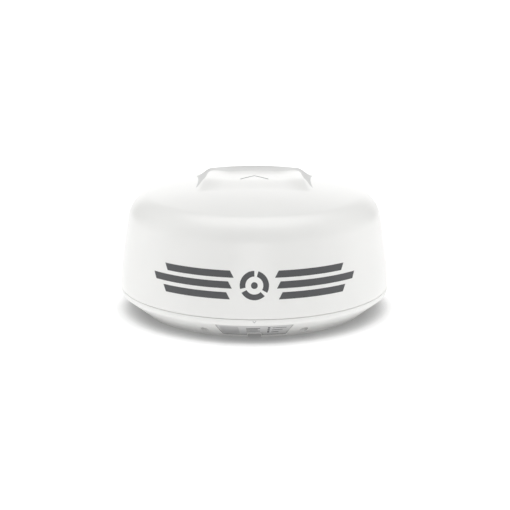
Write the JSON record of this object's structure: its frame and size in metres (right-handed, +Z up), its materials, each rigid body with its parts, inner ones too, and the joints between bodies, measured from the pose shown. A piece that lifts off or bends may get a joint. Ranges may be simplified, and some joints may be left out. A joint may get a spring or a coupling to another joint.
{
  "type": "radar dome antenna",
  "caption": "Closed marine radar dome: a belt-driven turning array under a lift-off radome on a flat cast base with bolt inserts and a cable notch.",
  "frame": {"origin": "middle of the flat underside", "axes": "+Z up, +Y towards the bow, cable notch and label on the -Y side"},
  "size_m": [0.509, 0.509, 0.248],
  "materials": {
    "radome_gelcoat": "gloss white moulded shell",
    "base_paint": "white powder coat on cast aluminium",
    "seal_rubber": "matte",
    "stainless_steel": "satin",
    "cast_aluminium": "satin",
    "black_plastic": "moulded",
    "circuit_board": "satin solder mask",
    "label_film": "satin printed film",
    "copper_coax": "satin",
    "white_acetal": "satin",
    "magnet_steel": "nickel plated",
    "marking_ink": "screen printed"
  },
  "bodies": {
    "base": {"base_housing": "base_paint", "cover_gasket": "seal_rubber", "mount_insert_1": "stainless_steel", "mount_insert_2": "stainless_steel", "mount_insert_3": "stainless_steel", "mount_insert_4": "stainless_steel", "power_socket": "black_plastic", "network_socket": "black_plastic", "breather_vent": "black_plastic", "label_plate": "label_film", "cover_screw_1": "stainless_steel", "cover_screw_2": "stainless_steel", "cover_screw_3": "stainless_steel", "cover_screw_4": "stainless_steel", "cover_screw_5": "stainless_steel", "cover_screw_6": "stainless_steel", "pedestal": "cast_aluminium", "lower_bearing": "stainless_steel", "upper_bearing": "stainless_steel", "rotary_joint_stator": "cast_aluminium", "pedestal_screw_1": "stainless_steel", "pedestal_screw_2": "stainless_steel", "pedestal_screw_3": "stainless_steel", "pedestal_screw_4": "stainless_steel", "drive_belt": "seal_rubber", "motor_bracket": "cast_aluminium", "drive_motor": "black_plastic", "motor_screw_1": "stainless_steel", "motor_screw_2": "stainless_steel", "idler_axle": "stainless_steel", "index_sensor_bracket": "cast_aluminium", "index_sensor": "black_plastic", "main_board": "circuit_board", "rf_shield": "stainless_steel", "power_board": "circuit_board", "transmitter_module": "cast_aluminium", "network_lead": "black_plastic", "power_lead": "seal_rubber", "motor_lead": "seal_rubber", "feed_coax": "copper_coax"},
    "cover": {"radome_cover": "radome_gelcoat"},
    "antenna": {"spindle": "stainless_steel", "rotary_joint_rotor": "cast_aluminium", "main_pulley": "cast_aluminium", "index_magnet": "magnet_steel", "antenna_hub": "cast_aluminium", "array_bracket": "cast_aluminium", "array_screw_1": "stainless_steel", "array_screw_2": "stainless_steel", "array_reflector": "cast_aluminium", "array_board": "circuit_board", "array_end_cap_left": "black_plastic", "array_end_cap_right": "black_plastic", "balance_weight": "stainless_steel", "array_coax": "copper_coax"},
    "motor_rotor": {"motor_shaft": "stainless_steel", "motor_pulley": "cast_aluminium"},
    "idler": {"idler_pulley": "white_acetal"}
  },
  "joints": [
    {"name": "antenna_spin", "type": "hinge", "parent": "base", "child": "antenna", "pos_m": [0, 0, 0.08], "axis": [0, 0, 1], "continuous": true},
    {"name": "motor_spin", "type": "hinge", "parent": "base", "child": "motor_rotor", "pos_m": [0.098, 0.056, 0.075], "axis": [0, 0, 1], "continuous": true},
    {"name": "idler_spin", "type": "hinge", "parent": "base", "child": "idler", "pos_m": [0.058, 0.092, 0.077], "axis": [0, 0, 1], "continuous": true},
    {"name": "cover_lift", "type": "slide", "parent": "base", "child": "cover", "axis": [0, 0, 1], "range_m": [0, 0.16]}
  ],
  "couplings": [
    {"joint": "motor_spin", "follows": "antenna_spin", "ratio": 5},
    {"joint": "idler_spin", "follows": "antenna_spin", "ratio": 6}
  ]
}
